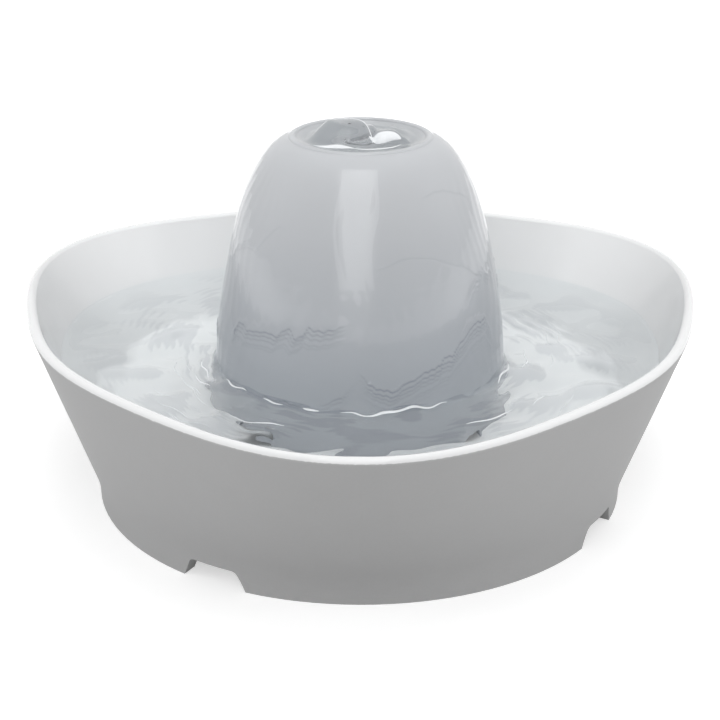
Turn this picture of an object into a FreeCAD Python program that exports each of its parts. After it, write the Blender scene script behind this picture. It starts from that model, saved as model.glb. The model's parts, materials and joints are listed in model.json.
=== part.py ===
import FreeCAD, Part
import math
import os

# Pet water fountain, in millimetres.
# A ceramic bowl with a rounded-triangle rim stands on a round foot ring.
# A hollow ceramic tower stands in its middle and hides a pump inside a filter basket.
# Water rises through a straight riser and wells up in the dish on top of the tower.

# Driving dimensions of the bowl
FOOT_R = 119.0
FOOT_RING = 7.0
FOOT_RECESS = 10.0
FLARE_START_Z = 8.8
FLARE_BLEND = 8.0
KNEE_BANDS = 8
RIM_Z = 85.6
RIM_MEAN_R = 152.6
RIM_LOBE = 9.3
RIM_LOBE_SHARP = 2.6
RIM_POINTS = 36
BOWL_WALL = 5.0
LIP_ROUND = 2.0
FLOOR_Z = 16.0
FLOOR_CORNER = 10.0
LOCATING_RING_R = 59.0
LOCATING_RING_WALL = 3.0
LOCATING_RING_H = 4.0
NOTCH_ANGLES = (-30.0, 60.0, 150.0, 240.0)
NOTCH_H = 9.0
NOTCH_BOTTOM_W = 31.0
NOTCH_TOP_W = 22.0
NOTCH_ROUND = 3.0
NOTCH_INNER_R = 89.0
NOTCH_LENGTH = 50.0

# Driving dimensions of the tower: outside as radius and height from base to shoulder, then the crest and dish
TOWER_OUTSIDE = (
    (66.6, 16.0),
    (64.6, 58.0),
    (62.8, 80.0),
    (59.4, 100.0),
    (55.3, 120.0),
    (50.7, 135.0),
    (45.2, 147.0),
)
TOWER_SHOULDER = (38.6, 156.0)
TOWER_CREST = (31.0, 160.4)
TOWER_CREST_W = 3.0
TOWER_CREST_RISE = 0.9
TOWER_CREST_DROP = 0.8
TOWER_WALL = 6.0
DISH_R = 24.5
DISH_Z = 156.0
DISH_ROUND = 3.0
TOWER_CEILING_Z = 149.8
CEILING_SLOPE_W = 6.0
INLET_ARCHES = 4
INLET_ARCH_W = 18.0
INLET_ARCH_H = 7.0
INLET_ARCH_ROUND = 4.0
INLET_ARCH_OUTER_R = 80.0
INLET_ARCH_INNER_R = 40.0
OUTLET_HOLE_R = 11.0

# The tower's axis stands behind the middle of the bowl's box by the rim's lobe
AXIS_Y = RIM_LOBE

# Seal in the tower's outlet hole
SEAL_BORE_R = 7.6
SEAL_FLANGE_R = 14.0
SEAL_FLANGE_T = 2.0

# Riser from the pump's spigot, and the nozzle that plugs into its top
RISER_R = 6.0
RISER_BORE_R = 4.6
RISER_BOTTOM_Z = 62.0
RISER_TOP_Z = 146.6
NOZZLE_R = 7.0
NOZZLE_TOP_Z = 157.0
NOZZLE_STEM = 8.0
NOZZLE_STEM_TAPER = 2.0
NOZZLE_STEM_TIP_R = 4.2
NOZZLE_BORE_R = 2.8
NOZZLE_MOUTH_R = 5.2
NOZZLE_MOUTH_DEPTH = 5.0
NOZZLE_CHAMFER = 0.6

# Filter basket
BASKET_R = 50.0
BASKET_WALL = 1.8
BASKET_FLOOR = 2.0
BASKET_TOP_Z = 70.0
SLOT_COUNT = 24
SLOT_W = 4.0
SLOT_ROUND = 1.6
SLOT_BOTTOM_Z = 24.0
SLOT_TOP_Z = 50.0
LEAD_SLOT_TOP_Z = 46.0
LEAD_SLOT_HALF_DEG = 20.0
RAIL_LAP = 1.6
RAIL_WEB = 1.7
RAIL_T = 1.8
RAIL_PLAY = 0.3

# Basket lid with its riser collar, ribs and two finger lugs
LID_T = 2.0
LID_PLAY = 0.2
LID_SKIRT_H = 5.0
LID_SKIRT_T = 1.6
LID_CHAMFER = 1.0
LID_COLLAR_PLAY = 0.6
LID_COLLAR_T = 1.8
LID_COLLAR_H = 3.0
LID_RIBS = 6
LID_RIB_T = 1.6
LID_RIB_OUTER_R = 34.0
LID_RIB_H = 2.0
LUG_W = 14.0
LUG_REACH = 2.5
LUG_ROUND = 0.9

# Foam sleeve and flat carbon cartridge
FOAM_OUTER_R = 47.9
FOAM_INNER_R = 41.5
FOAM_H = 38.0
FOAM_GAP_DEG = 50.0
CARTRIDGE_W = 44.0
CARTRIDGE_H = 36.0
CARTRIDGE_T = 5.4
CARTRIDGE_Y = -28.5
CARTRIDGE_FRAME = 2.4
CARTRIDGE_ROUND = 2.5
WINDOW_ROUND = 1.5
CARTRIDGE_BAR_W = 1.6
CARTRIDGE_BAR_T = 0.6
TAB_W = 10.0
TAB_H = 5.0
TAB_ROUND = 2.0

# Pump housing: its rotor axis is level and runs front to back, beside the upright outlet
PUMP_X = -8.0
PUMP_Z = 42.0
PUMP_HALF_W = 19.0
PUMP_BOTTOM_Z = 22.0
PUMP_TOP_Z = 57.5
PUMP_FRONT_Y = -7.0
PUMP_BACK_Y = 30.0
PUMP_CORNER = 4.0
PUMP_SHELL = 2.0
CHAMBER_R = 12.0
CHAMBER_BACK_Y = 4.0
WELL_R = 6.4
WELL_WALL = 1.2
WELL_BACK_Y = 26.0
SPIGOT_R = 5.0
SPIGOT_BORE_R = 3.0
SPIGOT_TOP_Z = 61.8
SPIGOT_NECK_TOP_Z = 68.0

# Stator and the resin that buries it
POTTING_HALF_W = 16.0
POTTING_BACK_Y = 29.0
CORE_DEPTH = 12.0
CORE_SETBACK = 6.0
CORE_HALF_W = 12.2
CORE_LEG = 4.5
CORE_TOP_Z = 50.0
CORE_BASE_Z = 27.0
CORE_BASE_H = 4.2
CORE_PLAY = 0.1
POLE_GAP_HALF_W = 5.5
POLE_HALF_H = 4.5
BOBBIN_WALL = 0.5
BOBBIN_CHEEK_T = 0.8
COIL_T = 2.3
COIL_INSET = 0.2
COIL_ROUND = 2.0

# Rotor: impeller and magnet turn together on a fixed shaft
MAGNET_R = 5.6
MAGNET_FRONT_Y = 5.0
MAGNET_BACK_Y = 23.0
SHAFT_R = 1.0
SHAFT_PLAY = 0.05
SHAFT_FIT = 0.01
SHAFT_FRONT_Y = -8.6
BUSH_R = 2.6
BUSH_LENGTH = 2.2
BUSH_SOCKET_WALL = 0.8
IMPELLER_R = 10.5
IMPELLER_BLADES = 6
IMPELLER_HUB_R = 3.2
IMPELLER_PLATE_R = 9.5
IMPELLER_PLATE_T = 1.2
IMPELLER_PLAY = 1.0
BLADE_T = 1.0
BLADE_ROOT_R = 2.5
BLADE_FRONT_Y = -5.5

# Pump cover, flow dial and intake grille
COVER_T = 2.0
COLLAR_R = 6.5
COLLAR_BORE_R = 5.2
COLLAR_LENGTH = 4.0
COLLAR_LAP = 0.5
SHUTTER_T = 1.0
SPIDER_ARMS = 3
SPIDER_ARM_W = 1.2
SPIDER_HUB_WALL = 0.9
DIAL_PLAY = 0.35
DIAL_BACK_GAP = 0.4
DIAL_WALL = 1.6
DIAL_FRONT_T = 1.2
DIAL_LEVER_R = 12.0
DIAL_LEVER_W = 3.0
DIAL_LEVER_ROUND = 0.8
GRILLE_INSET = 1.5
GRILLE_DEPTH = 12.0
GRILLE_WALL = 1.5
GRILLE_CORNER = 3.0
GRILLE_EDGE_ROUND = 1.4
GRILLE_SLOTS = 7
GRILLE_SLOT_W = 2.2
GRILLE_SIDE_MARGIN = 4.0
GRILLE_END_MARGIN = 5.0

# Suction cups under the pump, each with a head pressed into a socket in the housing
CUP_R = 5.5
CUP_HOLLOW = 1.2
CUP_SLOPE_H = 2.4
CUP_STEM_R = 2.0
CUP_HEAD_R = 2.5
CUP_HEAD_TIP_R = 2.3
CUP_HEAD_H = 1.1
CUP_SOCKET_R = 2.6
CUP_SOCKET_H = 1.2
CUP_SPREAD = 13.5
CUP_FRONT_INSET = 6.0
CUP_BACK_INSET = 7.0

# Seal where the lead passes through the bowl's floor
GLAND_Y = 46.0
GLAND_R = 6.0
GLAND_FLANGE_R = 8.5
GLAND_FLANGE_T = 2.0
GLAND_CHAMFER = 1.0
GLAND_LEAD_R = 1.8

# How far a cutter runs past a face, how near an edge lies to its level, and a length longer than any piece
PAST = 1.0
NEAR = 0.2
FAR = 99.0

UP = FreeCAD.Vector(0, 0, 1)
BACK = FreeCAD.Vector(0, 1, 0)
CENTRE = FreeCAD.Vector(0, 0, 0)


def at(x, y, z):
    return FreeCAD.Vector(x, y, z)


def save(shape, node):
    # The model is drawn round the tower's axis and moved once, as it is written
    placed = shape.copy()
    placed.translate(at(0, AXIS_Y, 0))
    placed.exportStep("parts/%s.step" % node)
    print(node, len(placed.Solids), round(placed.Volume), placed.isValid())


def post(radius, z0, z1, x=0.0, y=0.0):
    return Part.makeCylinder(radius, z1 - z0, at(x, y, z0), UP)


def level_rod(radius, y0, y1):
    # A round rod on the rotor's axis
    return Part.makeCylinder(radius, y1 - y0, at(PUMP_X, y0, PUMP_Z), BACK)


def block(x0, x1, y0, y1, z0, z1):
    return Part.makeBox(x1 - x0, y1 - y0, z1 - z0, at(x0, y0, z0))


def pump_block(half_width, y0, y1, z0, z1):
    return block(PUMP_X - half_width, PUMP_X + half_width, y0, y1, z0, z1)


def turned(points):
    # A closed half profile in the XZ plane, turned once round the upright axis
    corners = [at(r, 0, z) for r, z in points]
    outline = Part.makePolygon(corners + corners[:1])
    return Part.Face(outline).revolve(CENTRE, UP, 360)


def spun(shape, angle):
    copy = shape.copy()
    copy.rotate(CENTRE, UP, angle)
    return copy


def spun_on_rotor(shape, angle):
    copy = shape.copy()
    copy.rotate(at(PUMP_X, 0, PUMP_Z), BACK, angle)
    return copy


def edges_at(shape, test):
    return [edge for edge in shape.Edges if test(edge.BoundBox)]


def edges_along(shape, axis, above=-FAR):
    # Straight edges that run along one axis and lie above a level
    found = []
    for edge in shape.Edges:
        box = edge.BoundBox
        spans = {"X": box.XLength, "Y": box.YLength, "Z": box.ZLength}
        length = spans.pop(axis)
        if length > NEAR and max(spans.values()) < NEAR and box.ZMin > above:
            found.append(edge)
    return found


def rim_radius(angle):
    # Angle is measured from the front; three lobes, one of them facing the front
    return RIM_MEAN_R + RIM_LOBE * math.cos(3 * angle) + RIM_LOBE_SHARP * math.cos(6 * angle)


def flare_share(z):
    # 0 on the upright foot, 1 at the rim: straight, with a parabola easing it out of the foot
    above = z - FLARE_START_Z
    if above < -FLARE_BLEND:
        above = 0.0
    elif above < FLARE_BLEND:
        above = (above + FLARE_BLEND) ** 2 / (4 * FLARE_BLEND)
    return above / (RIM_Z - FLARE_START_Z)


def bowl_ring(z, inset=0.0):
    points = []
    for step in range(RIM_POINTS):
        angle = step * 2 * math.pi / RIM_POINTS
        radius = FOOT_R + (rim_radius(angle) - FOOT_R) * flare_share(z) - inset
        points.append(at(radius * math.sin(angle), -radius * math.cos(angle), z))
    curve = Part.BSplineCurve()
    curve.interpolate(Points=points, PeriodicFlag=True)
    return Part.Wire(curve.toShape())


def bowl_loft(low, high, inset=0.0):
    # Rings stand close together where the wall eases out of the foot; above them it is straight
    first = FLARE_START_Z - FLARE_BLEND
    pitch = 2 * FLARE_BLEND / KNEE_BANDS
    knee = [first + pitch * band for band in range(KNEE_BANDS + 1)]
    heights = [low] + [z for z in knee if low + pitch / 4 < z < high] + [high]
    return Part.makeLoft([bowl_ring(z, inset) for z in heights], True, True)


def notch_cutter(angle):
    half_low = NOTCH_BOTTOM_W / 2
    half_high = NOTCH_TOP_W / 2
    corners = [
        at(-half_low, -NOTCH_INNER_R, -PAST),
        at(half_low, -NOTCH_INNER_R, -PAST),
        at(half_high, -NOTCH_INNER_R, NOTCH_H),
        at(-half_high, -NOTCH_INNER_R, NOTCH_H),
    ]
    face = Part.Face(Part.makePolygon(corners + corners[:1]))
    cutter = face.extrude(at(0, -NOTCH_LENGTH, 0))
    return spun(cutter.makeFillet(NOTCH_ROUND, edges_along(cutter, "Y", NOTCH_H - NEAR)), angle)


def inlet_arch_angles():
    return [360 / INLET_ARCHES * (index + 0.5) for index in range(INLET_ARCHES)]


def make_bowl():
    inside = bowl_loft(FLOOR_Z, RIM_Z + PAST, BOWL_WALL)
    inside = inside.makeFillet(FLOOR_CORNER, edges_at(inside, lambda b: b.ZMax < FLOOR_Z + NEAR))
    body = bowl_loft(0.0, RIM_Z).cut(inside)
    body = body.makeFillet(LIP_ROUND, edges_at(body, lambda b: b.ZMin > RIM_Z - NEAR))
    body = body.cut(post(FOOT_R - FOOT_RING, -PAST, FOOT_RECESS))
    for angle in NOTCH_ANGLES:
        body = body.cut(notch_cutter(angle))
    # A low ring on the floor centres the tower, with gaps in line with the tower's inlet arches
    ring_top = FLOOR_Z + LOCATING_RING_H
    ring = post(LOCATING_RING_R, FLOOR_Z - PAST, ring_top)
    ring = ring.cut(post(LOCATING_RING_R - LOCATING_RING_WALL, FLOOR_Z - 2 * PAST, ring_top + PAST))
    half = INLET_ARCH_W / 2
    gap = block(-half, half, -LOCATING_RING_R - PAST, -INLET_ARCH_INNER_R, FLOOR_Z, ring_top + PAST)
    for angle in inlet_arch_angles():
        ring = ring.cut(spun(gap, angle))
    return body.fuse(ring).cut(post(GLAND_R, 0, FLOOR_Z + PAST, 0, GLAND_Y))


def tower_half_profile():
    outside = Part.BSplineCurve()
    outside.interpolate([at(r, 0, z) for r, z in TOWER_OUTSIDE + (TOWER_SHOULDER, TOWER_CREST)])
    inner_points = [at(r - TOWER_WALL, 0, z) for r, z in TOWER_OUTSIDE]
    inside = Part.BSplineCurve()
    inside.interpolate(inner_points)
    base = at(TOWER_OUTSIDE[0][0], 0, TOWER_OUTSIDE[0][1])
    crest_r, crest_z = TOWER_CREST
    crest = at(crest_r, 0, crest_z)
    crest_top = at(crest_r - TOWER_CREST_W / 2, 0, crest_z + TOWER_CREST_RISE)
    crest_inner = at(crest_r - TOWER_CREST_W, 0, crest_z - TOWER_CREST_DROP)
    dish_edge = at(DISH_R, 0, DISH_Z)
    hole_top = at(OUTLET_HOLE_R, 0, DISH_Z)
    hole_low = at(OUTLET_HOLE_R, 0, TOWER_CEILING_Z)
    ceiling_edge = at(inner_points[-1].x - CEILING_SLOPE_W, 0, TOWER_CEILING_Z)
    edges = [
        outside.toShape(),
        Part.Arc(crest, crest_top, crest_inner).toShape(),
        Part.makeLine(crest_inner, dish_edge),
        Part.makeLine(dish_edge, hole_top),
        Part.makeLine(hole_top, hole_low),
        Part.makeLine(hole_low, ceiling_edge),
        Part.makeLine(ceiling_edge, inner_points[-1]),
        inside.toShape(),
        Part.makeLine(inner_points[0], base),
    ]
    return Part.Wire(Part.__sortEdges__(edges))


def make_tower():
    body = Part.Face(tower_half_profile()).revolve(CENTRE, UP, 360)
    dish_ring = edges_at(body, lambda b: abs(b.ZMin - DISH_Z) < NEAR and b.ZLength < NEAR
                         and b.XLength > 2 * DISH_R - PAST)
    body = body.makeFillet(DISH_ROUND, dish_ring)
    half = INLET_ARCH_W / 2
    arch_top = FLOOR_Z + INLET_ARCH_H
    arch = block(-half, half, -INLET_ARCH_OUTER_R, -INLET_ARCH_INNER_R, FLOOR_Z - PAST, arch_top)
    arch = arch.makeFillet(INLET_ARCH_ROUND, edges_along(arch, "Y", FLOOR_Z))
    for angle in inlet_arch_angles():
        body = body.cut(spun(arch, angle))
    return body


def make_outlet_seal():
    low = TOWER_CEILING_Z - SEAL_FLANGE_T
    return turned([
        (SEAL_BORE_R, low),
        (SEAL_FLANGE_R, low),
        (SEAL_FLANGE_R, TOWER_CEILING_Z),
        (OUTLET_HOLE_R, TOWER_CEILING_Z),
        (OUTLET_HOLE_R, DISH_Z),
        (SEAL_BORE_R, DISH_Z),
    ])


def make_lead_seal():
    under = FOOT_RECESS - GLAND_FLANGE_T
    over = FLOOR_Z + GLAND_FLANGE_T
    seal = turned([
        (GLAND_LEAD_R, under),
        (GLAND_FLANGE_R - GLAND_CHAMFER, under),
        (GLAND_FLANGE_R, under + GLAND_CHAMFER),
        (GLAND_FLANGE_R, FOOT_RECESS),
        (GLAND_R, FOOT_RECESS),
        (GLAND_R, FLOOR_Z),
        (GLAND_FLANGE_R, FLOOR_Z),
        (GLAND_FLANGE_R, over - GLAND_CHAMFER),
        (GLAND_FLANGE_R - GLAND_CHAMFER, over),
        (GLAND_LEAD_R, over),
    ])
    seal.translate(at(0, GLAND_Y, 0))
    return seal


def make_cartridge_rail():
    # An upright channel at the right-hand edge of the cartridge
    half = CARTRIDGE_W / 2
    half_channel = CARTRIDGE_T / 2 + RAIL_PLAY
    y0 = CARTRIDGE_Y - half_channel
    y1 = CARTRIDGE_Y + half_channel
    low = FLOOR_Z + BASKET_FLOOR / 2
    high = FLOOR_Z + CARTRIDGE_H
    channel = block(half - RAIL_LAP, half + RAIL_PLAY + RAIL_WEB, y0 - RAIL_T, y1 + RAIL_T, low, high)
    return channel.cut(block(0, half + RAIL_PLAY, y0, y1, FLOOR_Z + BASKET_FLOOR, high + PAST))


def make_basket():
    floor_top = FLOOR_Z + BASKET_FLOOR
    inside_r = BASKET_R - BASKET_WALL
    body = post(BASKET_R, FLOOR_Z, BASKET_TOP_Z).cut(post(inside_r, floor_top, BASKET_TOP_Z + PAST))
    slot = block(-SLOT_W / 2, SLOT_W / 2, -BASKET_R - PAST, -inside_r + PAST, SLOT_BOTTOM_Z, SLOT_TOP_Z)
    slot = slot.makeFillet(SLOT_ROUND, edges_along(slot, "Y"))
    for index in range(SLOT_COUNT):
        angle = 360 / SLOT_COUNT * (index + 0.5)
        if abs(angle - 180) > LEAD_SLOT_HALF_DEG:
            body = body.cut(spun(slot, angle))
    # Open slot at the back, where the lead drops to its seal in the bowl's floor
    half = GLAND_FLANGE_R + PAST
    lead_slot = post(half, FLOOR_Z - PAST, LEAD_SLOT_TOP_Z, 0, GLAND_Y)
    lead_slot = lead_slot.fuse(block(-half, half, GLAND_Y, BASKET_R + PAST, FLOOR_Z - PAST, LEAD_SLOT_TOP_Z))
    rail = make_cartridge_rail()
    body = body.cut(lead_slot).fuse(rail).fuse(rail.mirror(CENTRE, at(1, 0, 0)))
    return body.removeSplitter()


def make_lid():
    top = BASKET_TOP_Z + LID_T
    seat_r = BASKET_R + LID_PLAY
    outer = seat_r + LID_SKIRT_T
    collar_bore = RISER_R + LID_COLLAR_PLAY
    collar_r = collar_bore + LID_COLLAR_T
    lid = turned([
        (collar_bore, BASKET_TOP_Z),
        (seat_r, BASKET_TOP_Z),
        (seat_r, BASKET_TOP_Z - LID_SKIRT_H),
        (outer, BASKET_TOP_Z - LID_SKIRT_H),
        (outer, top - LID_CHAMFER),
        (outer - LID_CHAMFER, top),
        (collar_r, top),
        (collar_r, top + LID_COLLAR_H),
        (collar_bore, top + LID_COLLAR_H),
    ])
    half = LID_RIB_T / 2
    rib = block(-LID_RIB_OUTER_R, -collar_r + NEAR, -half, half, top - LID_T / 4, top + LID_RIB_H)
    for index in range(LID_RIBS):
        lid = lid.fuse(spun(rib, 360 / LID_RIBS * (index + 0.5)))
    lug = block(-LUG_W / 2, LUG_W / 2, -outer - LUG_REACH, -outer + PAST, top - LID_T, top)
    tips = [edge for edge in edges_along(lug, "Z") if edge.BoundBox.YMax < -outer]
    lug = lug.makeFillet(LUG_ROUND, tips)
    for angle in (90, 270):
        lid = lid.fuse(spun(lug, angle))
    return lid.removeSplitter()


def make_foam():
    low = FLOOR_Z + BASKET_FLOOR
    high = low + FOAM_H
    sleeve = post(FOAM_OUTER_R, low, high).cut(post(FOAM_INNER_R, low - PAST, high + PAST))
    half = math.radians(FOAM_GAP_DEG / 2)
    tip = at(0, 0, low - PAST)
    left = at(-FAR * math.sin(half), FAR * math.cos(half), low - PAST)
    right = at(FAR * math.sin(half), FAR * math.cos(half), low - PAST)
    wedge = Part.Face(Part.makePolygon([tip, left, right, tip]))
    return sleeve.cut(wedge.extrude(at(0, 0, FOAM_H + 2 * PAST)))


def make_cartridge():
    low = FLOOR_Z + BASKET_FLOOR
    high = low + CARTRIDGE_H
    y0 = CARTRIDGE_Y - CARTRIDGE_T / 2
    y1 = CARTRIDGE_Y + CARTRIDGE_T / 2
    half = CARTRIDGE_W / 2
    edge = CARTRIDGE_FRAME
    outer = block(-half, half, y0, y1, low, high)
    outer = outer.makeFillet(CARTRIDGE_ROUND, edges_along(outer, "Y"))
    window = block(-half + edge, half - edge, y0 - PAST, y1 + PAST, low + edge, high - edge)
    window = window.makeFillet(WINDOW_ROUND, edges_along(window, "Y"))
    media = window.common(block(-half, half, y0 + CARTRIDGE_BAR_T, y1 - CARTRIDGE_BAR_T, low, high))
    tab = block(-TAB_W / 2, TAB_W / 2, y0, y1, high - PAST, high + TAB_H)
    tab = tab.makeFillet(TAB_ROUND, edges_along(tab, "Y", high))
    frame = outer.cut(window).fuse(tab)
    bar = block(-CARTRIDGE_BAR_W / 2, CARTRIDGE_BAR_W / 2, y0, y0 + CARTRIDGE_BAR_T, low + edge, high - edge)
    for side in (-1, 1):
        placed = bar.copy()
        placed.translate(at(side * half / 3, 0, 0))
        frame = frame.fuse(placed)
    return frame.removeSplitter(), media


def potting_room(back):
    # The space behind the chamber's back wall, round the rotor well
    front = CHAMBER_BACK_Y + PUMP_SHELL
    room = pump_block(POTTING_HALF_W, front, back, PUMP_BOTTOM_Z + PUMP_SHELL, PUMP_TOP_Z - PUMP_SHELL)
    return room.cut(level_rod(WELL_R + WELL_WALL, CHAMBER_BACK_Y, WELL_BACK_Y + WELL_WALL))


def cup_places():
    front = PUMP_FRONT_Y + CUP_FRONT_INSET
    back = PUMP_BACK_Y - CUP_BACK_INSET
    return [(PUMP_X + side * CUP_SPREAD, y) for side in (-1, 1) for y in (front, back)]


def make_pump_housing():
    body = pump_block(PUMP_HALF_W, PUMP_FRONT_Y, PUMP_BACK_Y, PUMP_BOTTOM_Z, PUMP_TOP_Z)
    body = body.makeFillet(PUMP_CORNER, edges_along(body, "Y"))
    body = body.fuse(post(SPIGOT_R, PUMP_Z, SPIGOT_TOP_Z))
    body = body.fuse(post(RISER_BORE_R, PUMP_TOP_Z, SPIGOT_NECK_TOP_Z))
    body = body.cut(level_rod(CHAMBER_R, PUMP_FRONT_Y - PAST, CHAMBER_BACK_Y))
    body = body.cut(level_rod(WELL_R, PUMP_FRONT_Y, WELL_BACK_Y))
    body = body.cut(post(SPIGOT_BORE_R, PUMP_Z, SPIGOT_NECK_TOP_Z + PAST))
    body = body.cut(potting_room(PUMP_BACK_Y + PAST))
    # Boss at the bottom of the rotor well holds the rear bush
    front = WELL_BACK_Y - BUSH_LENGTH
    socket = level_rod(BUSH_R + BUSH_SOCKET_WALL, front, WELL_BACK_Y + NEAR)
    body = body.fuse(socket.cut(level_rod(BUSH_R, front - PAST, WELL_BACK_Y)))
    for x, y in cup_places():
        body = body.cut(post(CUP_SOCKET_R, PUMP_BOTTOM_Z - PAST, PUMP_BOTTOM_Z + CUP_SOCKET_H, x, y))
    return body.removeSplitter()


def make_suction_cups():
    low = FLOOR_Z + BASKET_FLOOR
    cup = turned([
        (0.0, low + CUP_HOLLOW),
        (CUP_R - CUP_HOLLOW, low),
        (CUP_R, low),
        (CUP_STEM_R, low + CUP_SLOPE_H),
        (CUP_STEM_R, PUMP_BOTTOM_Z),
        (CUP_HEAD_R, PUMP_BOTTOM_Z),
        (CUP_HEAD_TIP_R, PUMP_BOTTOM_Z + CUP_HEAD_H),
        (0.0, PUMP_BOTTOM_Z + CUP_HEAD_H),
    ])
    cups = []
    for x, y in cup_places():
        copy = cup.copy()
        copy.translate(at(x, y, 0))
        cups.append(copy)
    return Part.makeCompound(cups)


def make_stator():
    y0 = CHAMBER_BACK_Y + CORE_SETBACK
    y1 = y0 + CORE_DEPTH
    base_top = CORE_BASE_Z + CORE_BASE_H
    throat = CORE_HALF_W - CORE_LEG
    core = pump_block(CORE_HALF_W, y0, y1, CORE_BASE_Z, CORE_TOP_Z)
    core = core.cut(pump_block(throat, y0 - PAST, y1 + PAST, base_top, CORE_TOP_Z + PAST))
    # A pole reaches in from each leg to the rotor well
    poles = pump_block(throat + PAST, y0, y1, PUMP_Z - POLE_HALF_H, PUMP_Z + POLE_HALF_H)
    poles = poles.cut(pump_block(POLE_GAP_HALF_W, y0 - PAST, y1 + PAST, PUMP_BOTTOM_Z, PUMP_TOP_Z))
    core = core.fuse(poles).cut(level_rod(WELL_R + WELL_WALL + CORE_PLAY, y0 - PAST, y1 + PAST))
    half = throat - 2 * CORE_PLAY

    def sleeve(half_width, grow):
        return pump_block(half_width, y0 - grow, y1 + grow, CORE_BASE_Z - grow, base_top + grow)

    tube = CORE_PLAY + BOBBIN_WALL
    cheeks = sleeve(half, tube + COIL_T).cut(sleeve(half - BOBBIN_CHEEK_T, tube + COIL_T + PAST))
    bobbin = sleeve(half, tube).fuse(cheeks).cut(sleeve(half + PAST, CORE_PLAY))
    winding = sleeve(half - BOBBIN_CHEEK_T, tube + COIL_T - COIL_INSET)
    winding = winding.makeFillet(COIL_ROUND, edges_along(winding, "X"))
    return core.removeSplitter(), bobbin.removeSplitter(), winding.cut(sleeve(half, tube))


def make_potting(buried):
    # What the coil group leaves of the room is one block of resin, without the scraps inside the coil
    fill = potting_room(POTTING_BACK_Y)
    for piece in buried:
        fill = fill.cut(piece)
    return max(fill.Solids, key=lambda solid: solid.Volume)


def make_rotor():
    back = CHAMBER_BACK_Y - IMPELLER_PLAY
    hub = level_rod(IMPELLER_HUB_R, BLADE_FRONT_Y, MAGNET_FRONT_Y)
    hub = hub.fuse(level_rod(IMPELLER_PLATE_R, back - IMPELLER_PLATE_T, back))
    blade = pump_block(BLADE_T / 2, BLADE_FRONT_Y, back, PUMP_Z + BLADE_ROOT_R, PUMP_Z + IMPELLER_R)
    for index in range(IMPELLER_BLADES):
        hub = hub.fuse(spun_on_rotor(blade, 360 / IMPELLER_BLADES * index))
    bore = level_rod(SHAFT_R + SHAFT_PLAY, BLADE_FRONT_Y - PAST, MAGNET_BACK_Y + PAST)
    magnet = level_rod(MAGNET_R, MAGNET_FRONT_Y, MAGNET_BACK_Y)
    return hub.cut(bore).removeSplitter(), magnet.cut(bore)


def make_bush(y0, y1):
    return level_rod(BUSH_R, y0, y1).cut(level_rod(SHAFT_R + SHAFT_FIT, y0 - PAST, y1 + PAST))


def make_pump_cover():
    front = PUMP_FRONT_Y - COVER_T
    mouth = front - COLLAR_LENGTH
    plate = pump_block(PUMP_HALF_W, front, PUMP_FRONT_Y, PUMP_BOTTOM_Z, PUMP_TOP_Z)
    plate = plate.makeFillet(PUMP_CORNER, edges_along(plate, "Y"))
    plate = plate.fuse(level_rod(COLLAR_R, mouth, front))
    plate = plate.cut(level_rod(COLLAR_BORE_R, mouth - PAST, PUMP_FRONT_Y + PAST))
    # Half of the collar's mouth is closed, so the dial throttles the intake as it turns
    shutter = level_rod(COLLAR_BORE_R + COLLAR_LAP, mouth, mouth + SHUTTER_T)
    plate = plate.fuse(shutter.cut(block(-FAR, FAR, -FAR, FAR, PUMP_Z, FAR)))
    # Three arms carry the hub that holds the front bush
    hub = level_rod(BUSH_R + SPIDER_HUB_WALL, front, PUMP_FRONT_Y + NEAR)
    arm_low = PUMP_Z + BUSH_R + COLLAR_LAP
    arm_high = PUMP_Z + COLLAR_BORE_R + COLLAR_LAP
    arm = pump_block(SPIDER_ARM_W / 2, front, PUMP_FRONT_Y, arm_low, arm_high)
    for index in range(SPIDER_ARMS):
        hub = hub.fuse(spun_on_rotor(arm, 360 / SPIDER_ARMS * index))
    hub = hub.cut(level_rod(BUSH_R, front - PAST, PUMP_FRONT_Y + PAST))
    return plate.fuse(hub).removeSplitter()


def make_dial():
    cover_front = PUMP_FRONT_Y - COVER_T
    back = cover_front - DIAL_BACK_GAP
    inside_front = cover_front - COLLAR_LENGTH - DIAL_PLAY
    front = inside_front - DIAL_FRONT_T
    bore = COLLAR_R + DIAL_PLAY
    rim = bore + DIAL_WALL
    dial = level_rod(rim, front, back).cut(level_rod(bore, inside_front, back + PAST))
    # Half of the front is open
    window = level_rod(COLLAR_BORE_R, front - PAST, inside_front + PAST)
    dial = dial.cut(window.cut(block(-FAR, FAR, -FAR, FAR, -FAR, PUMP_Z)))
    tip = PUMP_Z + DIAL_LEVER_R
    root = PUMP_Z + rim - DIAL_WALL / 2
    lever = pump_block(DIAL_LEVER_W / 2, front, inside_front + DIAL_FRONT_T, root, tip)
    lever = lever.makeFillet(DIAL_LEVER_ROUND, edges_along(lever, "Y", tip - NEAR))
    return dial.fuse(lever).removeSplitter()


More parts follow.
